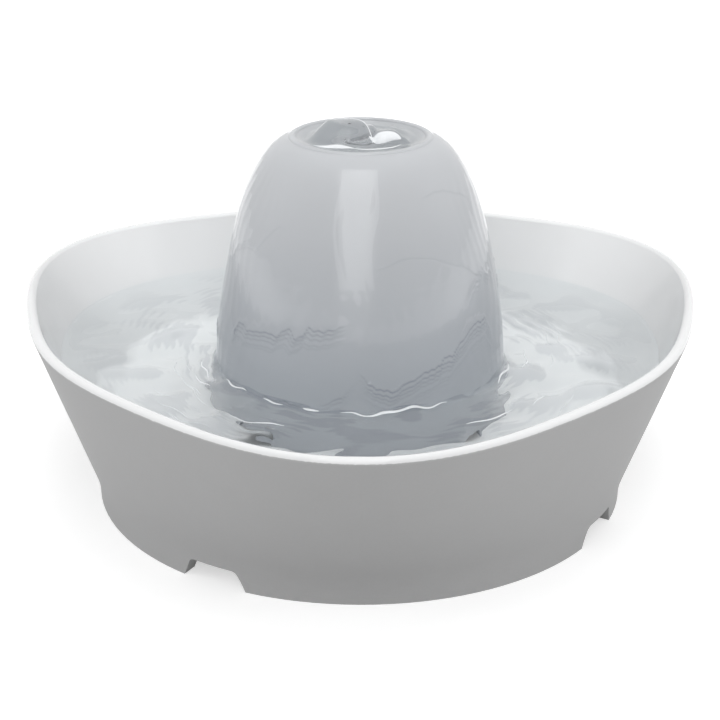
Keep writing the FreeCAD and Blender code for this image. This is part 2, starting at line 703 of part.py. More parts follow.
def make_grille():
    half = PUMP_HALF_W - GRILLE_INSET
    back = PUMP_FRONT_Y - COVER_T
    front = back - GRILLE_DEPTH
    low = PUMP_BOTTOM_Z + GRILLE_INSET
    high = PUMP_TOP_Z - GRILLE_INSET
    wall = GRILLE_WALL
    body = pump_block(half, front, back, low, high)
    body = body.makeFillet(GRILLE_CORNER, edges_along(body, "Y"))
    body = body.makeFillet(GRILLE_EDGE_ROUND, edges_at(body, lambda b: b.YMax < front + NEAR))
    body = body.cut(pump_block(half - wall, front + wall, back + PAST, low + wall, high - wall))
    half_slot = GRILLE_SLOT_W / 2
    slot_back = front + wall + PAST
    span = 2 * (half - GRILLE_SIDE_MARGIN)
    slot_low = low + GRILLE_END_MARGIN
    slot_high = high - GRILLE_END_MARGIN
    for index in range(GRILLE_SLOTS):
        x = PUMP_X + span * (index / (GRILLE_SLOTS - 1) - 0.5)
        body = body.cut(block(x - half_slot, x + half_slot, front - PAST, slot_back, slot_low, slot_high))
    return body


def make_riser():
    bore = post(RISER_BORE_R, RISER_BOTTOM_Z - PAST, RISER_TOP_Z + PAST)
    return post(RISER_R, RISER_BOTTOM_Z, RISER_TOP_Z).cut(bore)


def make_nozzle():
    low = RISER_TOP_Z - NOZZLE_STEM
    return turned([
        (NOZZLE_BORE_R, low),
        (NOZZLE_STEM_TIP_R, low),
        (RISER_BORE_R, low + NOZZLE_STEM_TAPER),
        (RISER_BORE_R, RISER_TOP_Z),
        (NOZZLE_R, RISER_TOP_Z),
        (NOZZLE_R, NOZZLE_TOP_Z - NOZZLE_CHAMFER),
        (NOZZLE_R - NOZZLE_CHAMFER, NOZZLE_TOP_Z),
        (NOZZLE_MOUTH_R, NOZZLE_TOP_Z),
        (NOZZLE_BORE_R, NOZZLE_TOP_Z - NOZZLE_MOUTH_DEPTH),
    ])


def main():
    os.makedirs("parts", exist_ok=True)
    save(make_bowl(), "bowl")
    save(make_lead_seal(), "lead_seal")
    save(make_tower(), "tower")
    save(make_outlet_seal(), "outlet_seal")
    save(make_basket(), "filter_basket")
    save(make_lid(), "filter_lid")
    save(make_foam(), "foam_sleeve")
    frame, media = make_cartridge()
    save(frame, "cartridge_frame")
    save(media, "carbon_pad")
    save(make_pump_housing(), "pump_housing")
    core, bobbin, winding = make_stator()
    save(core, "stator_core")
    save(bobbin, "coil_bobbin")
    save(winding, "coil_winding")
    save(make_potting([core, bobbin, winding]), "stator_potting")
    impeller, magnet = make_rotor()
    save(impeller, "impeller")
    save(magnet, "rotor_magnet")
    save(level_rod(SHAFT_R, SHAFT_FRONT_Y, WELL_BACK_Y), "rotor_shaft")
    save(make_bush(WELL_BACK_Y - BUSH_LENGTH, WELL_BACK_Y), "rear_bush")
    save(make_bush(PUMP_FRONT_Y - COVER_T, PUMP_FRONT_Y + NEAR), "front_bush")
    save(make_pump_cover(), "pump_cover")
    save(make_dial(), "flow_dial")
    save(make_grille(), "intake_grille")
    save(make_suction_cups(), "suction_cups")
    save(make_riser(), "riser_tube")
    save(make_nozzle(), "outlet_nozzle")


main()
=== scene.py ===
# %% [markdown]
# A pet water fountain, dressed for its portrait.
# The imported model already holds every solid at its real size. This script adds what a solid can't say:
# two glazes on one bowl, a film of water running down a ceramic tower, and the grain of each hidden part.
# The first cell loads the model as a fixed frame, so that every later piece is placed against it.

# %% Load the frame
import json
import math
import random

import bmesh
import bpy
import numpy as np
from mathutils import Euler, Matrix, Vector

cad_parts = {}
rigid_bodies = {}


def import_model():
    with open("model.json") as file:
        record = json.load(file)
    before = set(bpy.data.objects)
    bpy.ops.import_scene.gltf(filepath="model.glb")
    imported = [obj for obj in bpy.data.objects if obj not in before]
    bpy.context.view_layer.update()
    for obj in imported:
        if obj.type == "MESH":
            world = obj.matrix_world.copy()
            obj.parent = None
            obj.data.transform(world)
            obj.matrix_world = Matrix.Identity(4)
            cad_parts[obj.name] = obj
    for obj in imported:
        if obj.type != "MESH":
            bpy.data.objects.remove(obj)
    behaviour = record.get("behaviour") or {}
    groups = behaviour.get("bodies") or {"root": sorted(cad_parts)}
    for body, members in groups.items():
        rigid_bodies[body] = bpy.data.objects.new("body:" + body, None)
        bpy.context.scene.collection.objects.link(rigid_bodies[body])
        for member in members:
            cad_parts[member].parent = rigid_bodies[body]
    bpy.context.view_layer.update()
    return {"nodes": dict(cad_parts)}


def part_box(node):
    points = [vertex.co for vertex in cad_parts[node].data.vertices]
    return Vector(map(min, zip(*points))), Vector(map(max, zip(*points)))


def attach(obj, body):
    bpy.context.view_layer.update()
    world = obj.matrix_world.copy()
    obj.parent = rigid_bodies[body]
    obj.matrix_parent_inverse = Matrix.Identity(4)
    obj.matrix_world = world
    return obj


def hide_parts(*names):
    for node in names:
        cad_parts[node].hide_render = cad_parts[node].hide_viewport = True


for leftover in list(bpy.data.objects):
    bpy.data.objects.remove(leftover)
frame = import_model()
nodes = frame["nodes"]
tower_low, tower_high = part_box("tower")
axis_y = (tower_low.y + tower_high.y) / 2
print("frame loaded:", len(nodes), "nodes, tower axis at y =", round(axis_y, 4))

# %% [markdown]
# Lengths are in metres. The water stands a little over half way up the bowl, and its film on the tower is
# thinner than a fingernail. Rays cast at the solids give the shapes that the water has to follow, so no
# outline is copied from the model by hand.

# %% Water levels and the rays that measure the ceramic
MM = 0.001
WATER_Z = 59.3 * MM
FLOOR_Z = 16.0 * MM
TUCK = 0.8 * MM                 # how far the water's hidden faces sink into the ceramic
WALL_RAY_START = 80 * MM
WALL_MISSED_R = 130 * MM        # used if a ray leaves through a gap in the wall
TOWER_RAY_START = 90 * MM
TOWER_RAY_ANGLE = 0.4


def from_axis(angle, radius, z):
    # Angle is measured from the front, towards the right
    return Vector((radius * math.sin(angle), axis_y - radius * math.cos(angle), z))


def wall_radius(angle, z):
    start = from_axis(angle, WALL_RAY_START, z)
    outward = from_axis(angle, 1, z) - from_axis(angle, 0, z)
    hit, place, normal, face = nodes["bowl"].ray_cast(start, outward)
    return WALL_RAY_START + (place - start).length if hit else WALL_MISSED_R


def tower_radius(z):
    start = from_axis(TOWER_RAY_ANGLE, TOWER_RAY_START, z)
    inward = from_axis(TOWER_RAY_ANGLE, 0, z) - start
    hit, place, normal, face = nodes["tower"].ray_cast(start, inward)
    return TOWER_RAY_START - (place - start).length if hit else 0.0


print("water meets the tower at r =", round(tower_radius(WATER_Z) / MM, 1), "mm")

# %% [markdown]
# Everything round here is a stack of rings. One helper makes a ring about the tower's axis. The other turns
# a stack of them into a mesh with shared points and smooth shading, and closes the first and the last ring
# with a fan, so that the mesh is a solid. A subdivided cage would need fewer points, but it would round off
# the fine relief that water has.

# %% Rings, and a skin over a stack of them
def level_ring(angles, radii, heights):
    radii = np.broadcast_to(radii, angles.shape)
    heights = np.broadcast_to(heights, angles.shape)
    return np.stack([radii * np.sin(angles), axis_y - radii * np.cos(angles), heights], axis=1)


def turn_outward(mesh):
    work = bmesh.new()
    work.from_mesh(mesh)
    bmesh.ops.recalc_face_normals(work, faces=work.faces)
    work.to_mesh(mesh)
    work.free()


def link(name, mesh):
    piece = bpy.data.objects.new(name, mesh)
    bpy.context.scene.collection.objects.link(piece)
    return piece


def skin_rings(name, rings):
    rings = np.asarray(rings, float)
    rows, columns = rings.shape[0], rings.shape[1]
    points = rings.reshape(-1, 3).tolist()
    faces = []
    for row in range(rows - 1):
        for column in range(columns):
            following = (column + 1) % columns
            low, high = row * columns, (row + 1) * columns
            faces.append((low + column, low + following, high + following, high + column))
    for row, turn in ((0, -1), (rows - 1, 1)):
        centre = len(points)
        points.append(rings[row].mean(axis=0).tolist())
        for column in range(columns):
            pair = (row * columns + column, row * columns + (column + 1) % columns)
            faces.append((centre,) + pair[::turn])
    mesh = bpy.data.meshes.new(name)
    mesh.from_pydata(points, [], faces)
    mesh.validate()
    mesh.polygons.foreach_set("use_smooth", [True] * len(mesh.polygons))
    mesh.update()
    turn_outward(mesh)
    return link(name, mesh)


# %% [markdown]
# A finish is a tree of nodes, and each node takes three or four lines to make and join by hand. These short
# helpers say it in one line, so that a material below reads like a recipe.

# %% Helpers for shader trees
def new_material(name):
    material = bpy.data.materials.new(name)
    material.use_nodes = True
    return material, material.node_tree, material.node_tree.nodes["Principled BSDF"]


def join(tree, source, target):
    tree.links.new(source, target)


def settle(node, **values):
    # A socket's name is its label with a low line for each space
    for label, value in values.items():
        node.inputs[label.replace("_", " ")].default_value = value


def feed(tree, value, socket):
    # A plain value is set on the socket, and anything else is joined to it
    if isinstance(value, (int, float, tuple)):
        socket.default_value = value
    else:
        join(tree, value, socket)


def maths(tree, operation, first, second=None, clamp=False):
    node = tree.nodes.new("ShaderNodeMath")
    node.operation = operation
    node.use_clamp = clamp
    feed(tree, first, node.inputs[0])
    if second is not None:
        feed(tree, second, node.inputs[1])
    return node.outputs[0]


def noise(tree, vector, scale, detail, roughness=0.5):
    node = tree.nodes.new("ShaderNodeTexNoise")
    settle(node, Detail=detail, Roughness=roughness)
    join(tree, vector, node.inputs["Vector"])
    join(tree, scale, node.inputs["Scale"])
    return node.outputs["Fac"]


def blend_colours(tree, factor, first, second, mode="MIX"):
    node = tree.nodes.new("ShaderNodeMix")
    node.data_type = "RGBA"
    node.blend_type = mode
    for socket, value in zip((node.inputs[0], node.inputs[6], node.inputs[7]), (factor, first, second)):
        feed(tree, value, socket)
    return node.outputs[2]


def ramp(tree, value, from_min, from_max, smooth=False):
    node = tree.nodes.new("ShaderNodeMapRange")
    if smooth:
        node.interpolation_type = "SMOOTHSTEP"
    settle(node, From_Min=from_min, From_Max=from_max)
    join(tree, value, node.inputs["Value"])
    return node


def object_place(tree):
    return tree.nodes.new("ShaderNodeTexCoord").outputs["Object"]


def split(tree, vector):
    node = tree.nodes.new("ShaderNodeSeparateXYZ")
    join(tree, vector, node.inputs[0])
    return node.outputs


def add_bump(tree, height, shader, strength, distance):
    bump = tree.nodes.new("ShaderNodeBump")
    settle(bump, Strength=strength, Distance=distance)
    join(tree, height, bump.inputs["Height"])
    join(tree, bump.outputs["Normal"], shader.inputs["Normal"])


# %% [markdown]
# Ceramic, plastic and rubber all vary a little over their surface, at different scales. A node group does
# this once: it takes a colour, how far it may drift and at what scale, and gives back the colour, a value
# for roughness and a height for the Bump node. It mixes a fine noise with a broad one, because one scale
# alone looks printed.

# %% The grain group
FINE_SHARE = 0.6
BROAD_SCALE = 0.06
SWING_GAIN = 4.0                # noise keeps near its middle, so its swing is widened


def new_group(name, inputs, outputs):
    group = bpy.data.node_groups.new(name, "ShaderNodeTree")
    for label, kind, value in inputs:
        socket = group.interface.new_socket(label, in_out="INPUT", socket_type=kind)
        if value is not None:
            socket.default_value = value
    for label, kind in outputs:
        group.interface.new_socket(label, in_out="OUTPUT", socket_type=kind)
    return group, group.nodes.new("NodeGroupInput"), group.nodes.new("NodeGroupOutput")


def build_grain():
    inputs = [
        ("Colour", "NodeSocketColor", (0.8, 0.8, 0.8, 1)),
        ("Drift", "NodeSocketFloat", 0.05),
        ("Scale", "NodeSocketFloat", 200.0),
        ("Roughness", "NodeSocketFloat", 0.4),
        ("Roughness Drift", "NodeSocketFloat", 0.05),
    ]
    outputs = [
        ("Colour", "NodeSocketColor"), ("Roughness", "NodeSocketFloat"), ("Height", "NodeSocketFloat"),
    ]
    group, given, result = new_group("grain", inputs, outputs)
    place = object_place(group)
    fine = noise(group, place, given.outputs["Scale"], 4.0, 0.6)
    broad = noise(group, place, maths(group, "MULTIPLY", given.outputs["Scale"], BROAD_SCALE), 2.0)
    fine_part = maths(group, "MULTIPLY", fine, FINE_SHARE)
    mixed = maths(group, "ADD", fine_part, maths(group, "MULTIPLY", broad, 1 - FINE_SHARE))
    swing = maths(group, "SUBTRACT", mixed, 0.5)
    drift = maths(group, "MULTIPLY", given.outputs["Drift"], SWING_GAIN)
    level = maths(group, "ADD", maths(group, "MULTIPLY", swing, drift), 1.0)
    grey = group.nodes.new("ShaderNodeCombineColor")
    for socket in grey.inputs[:3]:
        join(group, level, socket)
    colour = blend_colours(group, 1.0, given.outputs["Colour"], grey.outputs[0], "MULTIPLY")
    join(group, colour, result.inputs["Colour"])
    rough_drift = maths(group, "MULTIPLY", given.outputs["Roughness Drift"], SWING_GAIN)
    rough_swing = maths(group, "MULTIPLY", swing, rough_drift)
    roughness = maths(group, "ADD", given.outputs["Roughness"], rough_swing, True)
    join(group, roughness, result.inputs["Roughness"])
    join(group, fine, result.inputs["Height"])
    return group


GRAIN = build_grain()
print("grain group:", len(GRAIN.nodes), "nodes")

# %% [markdown]
# Most finishes here are one grain with its own values, so one function makes them all. Each material places
# the group, and keeps its own shader: what is the same all over, such as a coat, is set on the shader.

# %% A grained finish, and how a part is dressed in it
def place_grain(tree, **values):
    node = tree.nodes.new("ShaderNodeGroup")
    node.node_tree = GRAIN
    settle(node, **values)
    return node


def grained(name, colour, drift, scale, roughness, roughness_drift, bump, **settings):
    material, tree, shader = new_material(name)
    grain = place_grain(tree, Colour=colour + (1,), Drift=drift, Scale=scale,
                        Roughness=roughness, Roughness_Drift=roughness_drift)
    join(tree, grain.outputs["Colour"], shader.inputs["Base Color"])
    join(tree, grain.outputs["Roughness"], shader.inputs["Roughness"])
    add_bump(tree, grain.outputs["Height"], shader, bump, 0.05 * MM)
    settle(shader, **settings)
    return material


def dress(node, material):
    for slot in nodes[node].material_slots:
        slot.material = material


# %% [markdown]
# The bowl is one casting with two glazes. Inside and over the lip it is glossy white. Outside it is a dry,
# matte grey that stops in a crisp line where the lip turns over. The bowl is a single solid, so a mask tells
# the two apart by the way that a face looks: the flared outside looks down, the inside and the lip look up.
# Near the foot the outside stands upright, so there a face that looks away from the axis counts as outside.

# %% The two glazes of the bowl
MATTE_GREY = (0.425, 0.426, 0.428)
GLOSS_WHITE = (0.80, 0.805, 0.81)
GLAZE_EDGE = 0.14               # how far up a face looks where the white is full
OUTWARD_REACH = 30 * MM         # a face looks outward if its normal times its place comes to more
FOOT_TOP_Z = 40 * MM


def inside_mask(tree):
    place = tree.nodes.new("ShaderNodeTexCoord")
    normal = split(tree, place.outputs["Normal"])
    point = split(tree, place.outputs["Object"])
    lip = ramp(tree, normal["Z"], 0.0, GLAZE_EDGE)
    out_x = maths(tree, "MULTIPLY", normal["X"], point["X"])
    out_y = maths(tree, "MULTIPLY", normal["Y"], maths(tree, "SUBTRACT", point["Y"], axis_y))
    outward = maths(tree, "GREATER_THAN", maths(tree, "ADD", out_x, out_y), OUTWARD_REACH)
    foot = maths(tree, "MULTIPLY", outward, maths(tree, "LESS_THAN", point["Z"], FOOT_TOP_Z))
    under = maths(tree, "LESS_THAN", point["Z"], FLOOR_Z - 1 * MM)
    glazed = maths(tree, "SUBTRACT", 1.0, maths(tree, "MAXIMUM", foot, under))
    return maths(tree, "MULTIPLY", lip.outputs["Result"], glazed, True)


def two_glazes():
    material, tree, shader = new_material("bowl two glazes")
    matte = place_grain(tree, Colour=MATTE_GREY + (1,), Drift=0.035, Scale=900.0,
                        Roughness=0.62, Roughness_Drift=0.05)
    gloss = place_grain(tree, Colour=GLOSS_WHITE + (1,), Drift=0.006, Scale=90.0,
                        Roughness=0.10, Roughness_Drift=0.02)
    mask = inside_mask(tree)
    colour = blend_colours(tree, mask, matte.outputs["Colour"], gloss.outputs["Colour"])
    join(tree, colour, shader.inputs["Base Color"])
    rough = tree.nodes.new("ShaderNodeMix")
    join(tree, mask, rough.inputs[0])
    join(tree, matte.outputs["Roughness"], rough.inputs[2])
    join(tree, gloss.outputs["Roughness"], rough.inputs[3])
    join(tree, rough.outputs[0], shader.inputs["Roughness"])
    height = maths(tree, "MULTIPLY", matte.outputs["Height"], maths(tree, "SUBTRACT", 1.0, mask))
    add_bump(tree, height, shader, 0.35, 0.06 * MM)
    return material


dress("bowl", two_glazes())
print("bowl: matte below the lip, gloss inside from z =", round((FLOOR_Z - 1 * MM) / MM, 1), "mm")

# %% [markdown]
# The tower has a glossy grey glaze. A ramp along its height mixes two greys, lighter at the top and cooler
# and darker towards the base, and a second ramp darkens the dish: both darkenings are painted shade. A
# clear coat gives the sharp reflection over a softer body.

# %% The tower's glaze, with painted shade low down and in the dish
TOWER_LIT_TOP_GREY = (0.51, 0.515, 0.53)
TOWER_SHADED_BASE_GREY = (0.40, 0.415, 0.445)
DISH_SHADE_GREY = (0.33, 0.345, 0.36)
DISH_SHADE_START_R = 29.5 * MM
DISH_SHADE_FULL_R = 22.0 * MM


def tower_glaze_and_shade():
    material, tree, shader = new_material("tower glaze and painted shade")
    point = split(tree, object_place(tree))
    # Painted shade: the base is mixed cooler and darker than the lighter top
    climb = ramp(tree, point["Z"], WATER_Z - 10 * MM, tower_high.z, True)
    outside = blend_colours(tree, climb.outputs["Result"], TOWER_SHADED_BASE_GREY + (1,), TOWER_LIT_TOP_GREY + (1,))
    across = maths(tree, "SUBTRACT", point["Y"], axis_y)
    x_squared = maths(tree, "MULTIPLY", point["X"], point["X"])
    y_squared = maths(tree, "MULTIPLY", across, across)
    distance = maths(tree, "SQRT", maths(tree, "ADD", x_squared, y_squared))
    # Painted shade: the glaze in the dish is darkened towards its middle
    dish = ramp(tree, distance, DISH_SHADE_START_R, DISH_SHADE_FULL_R, True)
    colour = blend_colours(tree, dish.outputs["Result"], outside, DISH_SHADE_GREY + (1,))
    grain = place_grain(tree, Drift=0.012, Scale=260.0, Roughness=0.16, Roughness_Drift=0.03)
    join(tree, colour, grain.inputs["Colour"])
    join(tree, grain.outputs["Colour"], shader.inputs["Base Color"])
    join(tree, grain.outputs["Roughness"], shader.inputs["Roughness"])
    settle(shader, Coat_Weight=0.2, Coat_Roughness=0.06)
    add_bump(tree, grain.outputs["Height"], shader, 0.06, 0.1 * MM)
    return material


dress("tower", tower_glaze_and_shade())
print("tower glaze and painted shade: ramp over", round((tower_high.z - WATER_Z) / MM), "mm of height")

# %% [markdown]
# Water bends light and has no colour of its own. A steep front in a thin film bends light aside and reads
# as a fine dark line, so the mesh carries a value along each front, and the material turns it into a little
# shade. Light that reaches the ceramic through clear water would need very many samples, so the material
# lets shadow and diffuse rays straight through, and bends only what the eye sees.

# %% Clear water
CLEAR = (0.975, 0.99, 1.0, 1)
FRONT_SHADE = (0.46, 0.48, 0.53, 1)
SHADE_NAME = "front_shade"


def clear_water(name, tint):
    material, tree, shader = new_material(name)
    shade = tree.nodes.new("ShaderNodeAttribute")
    shade.attribute_name = SHADE_NAME
    colour = blend_colours(tree, shade.outputs["Fac"], CLEAR, FRONT_SHADE)
    join(tree, colour, shader.inputs["Base Color"])
    settle(shader, Roughness=0.0, IOR=1.333, Transmission_Weight=1.0)
    through = tree.nodes.new("ShaderNodeBsdfTransparent")
    settle(through, Color=tint + (1,))
    path = tree.nodes.new("ShaderNodeLightPath")
    skip = maths(tree, "MAXIMUM", path.outputs["Is Shadow Ray"], path.outputs["Is Diffuse Ray"])
    mix = tree.nodes.new("ShaderNodeMixShader")
    join(tree, skip, mix.inputs[0])
    join(tree, shader.outputs[0], mix.inputs[1])
    join(tree, through.outputs[0], mix.inputs[2])
    join(tree, mix.outputs[0], tree.nodes["Material Output"].inputs["Surface"])
    return material


DEEP_WATER = clear_water("deep water", (0.93, 0.955, 0.955))
THIN_WATER = clear_water("thin water", (0.97, 0.98, 0.985))


def shaded(piece, shades):
    shown = np.concatenate(shades)
    values = np.zeros(len(piece.data.vertices))
    values[:len(shown)] = shown
    piece.data.attributes.new(SHADE_NAME, "FLOAT", "POINT").data.foreach_set("value", values)
    return piece


def wet(piece, body, water):
    piece.data.materials.append(water)
    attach(piece, body)
    return piece


# %% [markdown]
# The pool is stirred by the sheet that runs off the tower: short rings close to it, then long swirls that
# break up the reflections, and calm water at the wall. An ocean modifier makes open waves, and knows nothing
# of a ring round a tower, so the height is a sum of sines in distance and angle. Where the crests stand
# highest the same sum gives a patch of shade. The water climbs a little at the tower and at the wall.

# %% The pool
POOL_COLUMNS = 480
POOL_STEPS = 120
RING_WAVELENGTH = 9.0 * MM
RING_HEIGHT = 0.34 * MM
RING_REACH = 30 * MM
SWIRL_HEIGHT = 0.13 * MM
SWIRLS = 26
SWIRL_UNIT = 20 * MM            # a swirl this long is as high as SWIRL_HEIGHT
CALM_BAND = 16 * MM
MENISCUS_HEIGHT = 1.5 * MM
MENISCUS_REACH = 1.8 * MM
WALL_MENISCUS_SHARE = 0.6
PATCH_REACH = 66 * MM
PATCH_DEPTH = 0.5
PATCH_START = 0.1
PATCH_SOFTNESS = 0.3


def make_swirls():
    draw = random.Random(4)
    swirls = []
    for _ in range(SWIRLS):
        heading = draw.uniform(0, math.tau)
        length = draw.uniform(12, 44) * MM
        swirls.append((heading, length, draw.uniform(0, math.tau)))
    return swirls


POOL_SWIRLS = make_swirls()


def pool_height(angles, radii, walls, inner):
    # The height over the still level, and the shade that goes with it
    away = np.maximum(radii - inner, 0)
    wobble = 1.6 * np.sin(3 * angles + 0.6) + 1.1 * np.sin(7 * angles) + 0.6 * np.sin(13 * angles + 1)
    wobble += 0.35 * np.sin(29 * angles + away * 260) + 0.25 * np.sin(47 * angles - away * 340)
    stretch = RING_WAVELENGTH * (1 + 0.25 * np.sin(2 * angles + 0.4))
    patchy = 0.55 + 0.45 * np.sin(5 * angles + 2 + away * 90)
    rings = RING_HEIGHT * patchy * np.exp(-away / RING_REACH) * np.cos(math.tau * away / stretch + wobble)
    x, y = radii * np.sin(angles), radii * np.cos(angles)
    swirl = np.zeros_like(angles)
    for heading, length, phase in POOL_SWIRLS:
        along = x * math.cos(heading) + y * math.sin(heading)
        turn = along * math.tau / length + phase + 1.4 * np.sin(angles * 2 + phase)
        swirl += length / SWIRL_UNIT * np.sin(turn)
    calm = np.clip((walls - radii) / CALM_BAND, 0, 1)
    rise = MENISCUS_HEIGHT * np.exp(-away / MENISCUS_REACH)
    wall_rise = np.exp(-np.maximum(0, walls - radii) / MENISCUS_REACH)
    rise += MENISCUS_HEIGHT * WALL_MENISCUS_SHARE * wall_rise
    streaks = 0.5 * patchy * np.cos(2.6 * math.tau * away / stretch + 1.7 * wobble)
    crests = rings / RING_HEIGHT + 0.15 * swirl + streaks
    patches = np.clip((crests - PATCH_START) / PATCH_SOFTNESS, 0, 1) * PATCH_DEPTH
    patches *= np.exp(-(away / PATCH_REACH) ** 2) * calm
    return rings * calm + SWIRL_HEIGHT * swirl * calm + rise, patches


# %% [markdown]
# The pool is closed underneath, because light bends on its way in and out only through a solid. Its top goes
# out from the tower in steps that start fine, where the rings are. Then it follows the wall down, a little
# inside the glaze, so that no gap of air shows between them.

# %% The pool's rings
HIDDEN_RINGS = 5                # under the tower, where nothing is seen
HIDDEN_RING_SHARE = 0.16
STEP_GROWTH = 1.25
DEPTHS_MM = (50, 40, 32, 26, 22, 19, 17)


def make_pool():
    angles = np.arange(POOL_COLUMNS) * math.tau / POOL_COLUMNS
    walls = np.array([wall_radius(angle, WATER_Z) for angle in angles])
    inner = tower_radius(WATER_Z)
    hidden = inner * HIDDEN_RING_SHARE * np.arange(1, HIDDEN_RINGS + 1)
    rings = [level_ring(angles, radius, WATER_Z) for radius in hidden]
    shades = [np.zeros_like(angles)] * len(rings)
    start, end = inner - TUCK / 2, walls + 1.5 * TUCK
    for step in range(POOL_STEPS + 1):
        radii = start + (end - start) * (step / POOL_STEPS) ** STEP_GROWTH
        lift, patches = pool_height(angles, radii, walls, inner)
        rings.append(level_ring(angles, radii, WATER_Z + lift))
        shades.append(patches)
    for depth in DEPTHS_MM:
        low_walls = np.array([wall_radius(angle, depth * MM) for angle in angles])
        rings.append(level_ring(angles, low_walls + TUCK / 2, depth * MM))
    rings.append(level_ring(angles, low_walls - 2 * MM, FLOOR_Z - TUCK / 4))
    return shaded(skin_rings("pool_water", rings), shades)


pool = wet(make_pool(), "bowl", DEEP_WATER)
print("pool:", len(pool.data.polygons), "faces")

# %% [markdown]
# The film on the tower is one sheet: it fills the dish, swells over the outlet, slips over the crest and
# runs down the outside. A solidify modifier on a copy of the tower would give it one thickness everywhere.
# Here rays find the tower's profile, the profile is walked in even steps, and each step stands off from it
# by as much water as there is at that place.

# %% The profile of the wet tower
DISH_LEVEL_Z = tower_high.z - 0.9 * MM
CREST_R = 29.0 * MM
FILM = 0.22 * MM
FILM_COLUMNS = 480
FILM_ROWS = 250
DISH_ROWS = 54
PROFILE_STEPS = 60
PROFILE_GROWTH = 1.35           # the steps start short, because the shoulder at the top curves most
PROFILE_TOP_Z = tower_high.z - 0.15 * MM
PROFILE_LOW_Z = WATER_Z - 2 * MM


def outside_profile():
    shares = [(step / PROFILE_STEPS) ** PROFILE_GROWTH for step in range(PROFILE_STEPS + 1)]
    heights = [PROFILE_TOP_Z + (PROFILE_LOW_Z - PROFILE_TOP_Z) * share for share in shares]
    return np.array([(tower_radius(z), z) for z in heights])


def even_walk(profile, rows):
    lengths = np.concatenate([[0], np.cumsum(np.hypot(*np.diff(profile, axis=0).T))])
    stops = np.linspace(0, lengths[-1], rows)
    return np.stack([np.interp(stops, lengths, column) for column in profile.T], axis=1)


TOWER_PROFILE = even_walk(outside_profile(), FILM_ROWS)
print("tower profile: radius", (TOWER_PROFILE[[0, -1], 0] / MM).round(1), "mm at the top and at the water")

# %% [markdown]
# A front is where the sheet hurries over a slower layer: a low wavy ridge round part of the tower. A few lie
# where the photograph shows them, as points of angle and height that a smooth curve passes through. The rest
# are drawn at random round the back. Sines add the zigzag, and each front drags fainter copies of itself
# below, as real wavelets do.

# %% The wandering fronts
FRONT_WIDTH = 0.8 * MM
FRONT_RISE = 0.42 * MM
SHADE_WIDTH = 0.42 * MM
SHADE_DROP = 0.6                # the shade lies this many widths below the ridge
COPY_DROP = 1.9
COPY_FADE = 0.74
COPY_SHRINK = 0.9
END_FADE = 7                    # degrees over which a front fades out at its two ends

# Each front: strength, zigzag size in mm, zigzag turns, fainter copies, and points of angle and height
SEEN_FRONTS = (
    (1.0, 1.7, 31, 4, ((-66, 87), (-45, 88), (-24, 92), (-4, 97))),
    (1.2, 1.0, 43, 6, ((-2, 78), (10, 69), (20, 73), (38, 81), (50, 89), (57, 90), (66, 80))),
    (0.9, 1.1, 38, 3, ((-78, 64), (-56, 60), (-36, 61), (-18, 61))),
    (0.8, 0.9, 52, 2, ((-17, 61), (-8, 66), (0, 74))),
    (0.35, 0.5, 24, 0, ((4, 118), (20, 123), (42, 118), (66, 105))),
    (0.35, 1.0, 29, 1, ((-86, 102), (-62, 121), (-42, 120))),
    (0.30, 0.6, 33, 0, ((-56, 114), (-46, 128), (-34, 135))),
    (0.30, 0.5, 20, 0, ((30, 145), (48, 146), (70, 138))),
    (0.45, 1.2, 36, 2, ((46, 98), (60, 108), (78, 103))),
)
BACK_FRONTS = 16


def smooth_through(points, x):
    # A smooth curve through the points, with the slope at each taken from its neighbours
    px, pz = np.array(points, float).T
    slopes = np.gradient(pz, px)
    cell = np.clip(np.searchsorted(px, x) - 1, 0, len(px) - 2)
    width = px[cell + 1] - px[cell]
    t = np.clip((x - px[cell]) / width, 0, 1)
    start = pz[cell] * (1 + 2 * t) * (1 - t) ** 2 + slopes[cell] * width * t * (1 - t) ** 2
    return start + pz[cell + 1] * t * t * (3 - 2 * t) - slopes[cell + 1] * width * t * t * (1 - t)


def plan_back_fronts(draw):
    plans = []
    for index in range(BACK_FRONTS):
        start = draw.uniform(80, 240)
        height = draw.uniform(60, 100) if index % 3 else draw.uniform(100, 135)
        strength = 0.9 if height < 100 else 0.35
        bends = [(start + 16 * step, height + draw.uniform(-6, 6)) for step in range(4)]
        plans.append((strength, draw.uniform(0.6, 2.0), draw.randint(24, 48), 2, tuple(bends)))
    return plans


def make_fronts():
    draw = random.Random(11)
    fronts = []
    for strength, size, turns, copies, points in list(SEEN_FRONTS) + plan_back_fronts(draw):
        phase = draw.uniform(0, math.tau)
        for copy in range(copies + 1):
            fade = strength * COPY_FADE ** copy
            drop = COPY_DROP * copy + draw.uniform(-0.5, 0.5) * (copy > 0)
            fronts.append((fade, size * COPY_SHRINK ** copy, turns, phase + 0.3 * copy, drop, points))
    return fronts


FRONTS = make_fronts()
print("fronts in the film, with their copies:", len(FRONTS))

# %% [markdown]
# A ridge is a bell curve across the front's line, with a longer, lower one behind it that makes the slope
# uneven, as a wave's is. Only the narrow shade below the ridge is drawn in the colour.

# %% How thick the film is, and where it is shaded
TAIL_SHARE = 0.35
TAIL_SHIFT = 1.5
TAIL_WIDTH = 3


